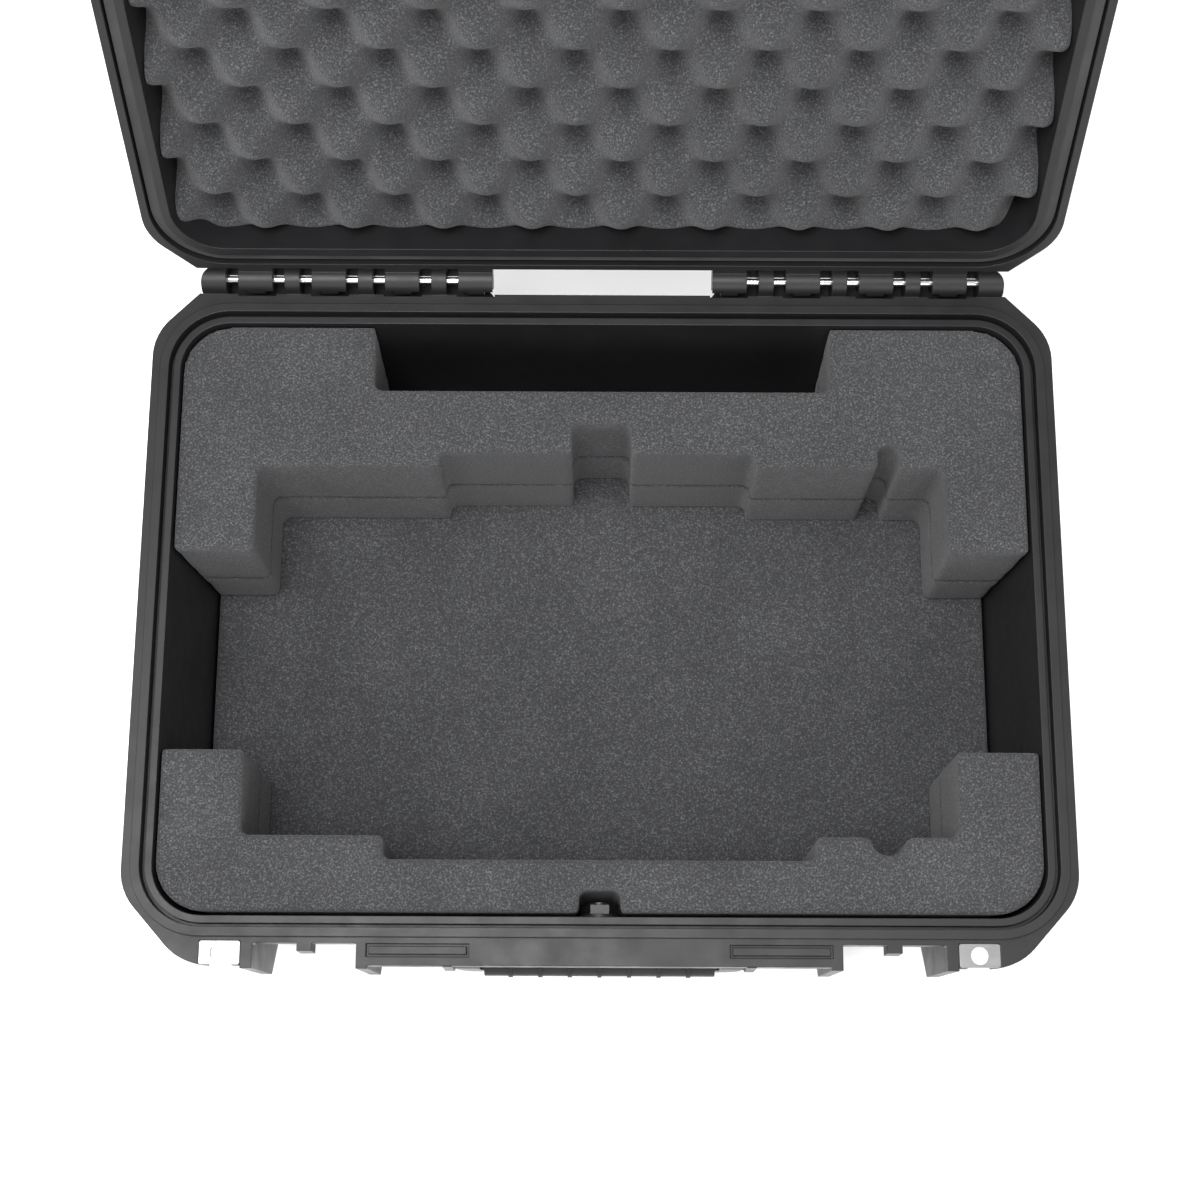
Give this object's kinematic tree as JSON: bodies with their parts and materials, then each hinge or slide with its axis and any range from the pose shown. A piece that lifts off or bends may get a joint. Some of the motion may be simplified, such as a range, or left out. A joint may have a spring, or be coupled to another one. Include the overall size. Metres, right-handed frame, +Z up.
{
  "type": "waterproof hard case",
  "caption": "Moulded waterproof hard case with a hinged lid, trigger latches, folding handle, pressure valve and cut foam inserts.",
  "frame": {"origin": "middle of the flat pad on the underside that the case stands on, below the middle of the case's opening", "axes": "+X to the right as seen from the handle side, +Y towards the hinge, +Z up"},
  "size_m": [0.502, 0.5708, 0.5496],
  "materials": {
    "shell_plastic": "fine moulded texture, satin",
    "latch_plastic": "fine moulded texture, satin",
    "handle_plastic": "satin",
    "grip_rubber": "soft matt rubber",
    "seal_rubber": "matt rubber",
    "foam": "open-cell charcoal foam",
    "pin_steel": "polished stainless",
    "plate_steel": "bright stainless",
    "valve_plastic": "satin",
    "vent_membrane": "white vent membrane"
  },
  "bodies": {
    "base": {"base_shell": "shell_plastic", "foam_top_layer": "foam", "foam_middle_layer": "foam", "foam_bottom_pad": "foam", "hinge_pin_left": "pin_steel", "hinge_pin_right": "pin_steel", "base_lock_plate_left": "plate_steel", "base_lock_plate_right": "plate_steel", "handle_pin_left": "pin_steel", "handle_pin_right": "pin_steel", "valve_body": "valve_plastic", "valve_seal": "seal_rubber", "valve_nut": "valve_plastic", "valve_vent": "vent_membrane"},
    "lid": {"lid_shell": "shell_plastic", "lid_gasket": "seal_rubber", "lid_foam": "foam", "latch_pin_left": "pin_steel", "latch_pin_right": "pin_steel", "lid_lock_plate_left": "plate_steel", "lid_lock_plate_right": "plate_steel"},
    "handle": {"handle_core": "handle_plastic", "handle_grip": "grip_rubber"},
    "latch_left": {"latch_body_left": "latch_plastic", "trigger_pin_left": "pin_steel"},
    "trigger_left": {"latch_trigger_left": "latch_plastic"},
    "latch_right": {"latch_body_right": "latch_plastic", "trigger_pin_right": "pin_steel"},
    "trigger_right": {"latch_trigger_right": "latch_plastic"}
  },
  "joints": [
    {"name": "lid_hinge", "type": "hinge", "parent": "base", "child": "lid", "pos_m": [0, 0.1904, 0.14], "axis": [1, 0, 0], "range_deg": [0, 112]},
    {"name": "handle_swing", "type": "hinge", "parent": "base", "child": "handle", "pos_m": [0, -0.183, 0.118], "axis": [-1, 0, 0], "range_deg": [0, 90]},
    {"name": "latch_hinge_left", "type": "hinge", "parent": "lid", "child": "latch_left", "pos_m": [-0.1534, 0.34837, 0.48214], "axis": [1, 0, 0], "range_deg": [0, 85]},
    {"name": "trigger_hinge_left", "type": "hinge", "parent": "latch_left", "child": "trigger_left", "pos_m": [-0.1534, 0.3546, 0.50251], "axis": [-1, 0, 0], "range_deg": [0, 25], "stiffness_Nm_per_rad": 0.2, "springref_deg": -20.05},
    {"name": "latch_hinge_right", "type": "hinge", "parent": "lid", "child": "latch_right", "pos_m": [0.1534, 0.34837, 0.48214], "axis": [1, 0, 0], "range_deg": [0, 85]},
    {"name": "trigger_hinge_right", "type": "hinge", "parent": "latch_right", "child": "trigger_right", "pos_m": [0.1534, 0.3546, 0.50251], "axis": [-1, 0, 0], "range_deg": [0, 25], "stiffness_Nm_per_rad": 0.2, "springref_deg": -20.05}
  ]
}
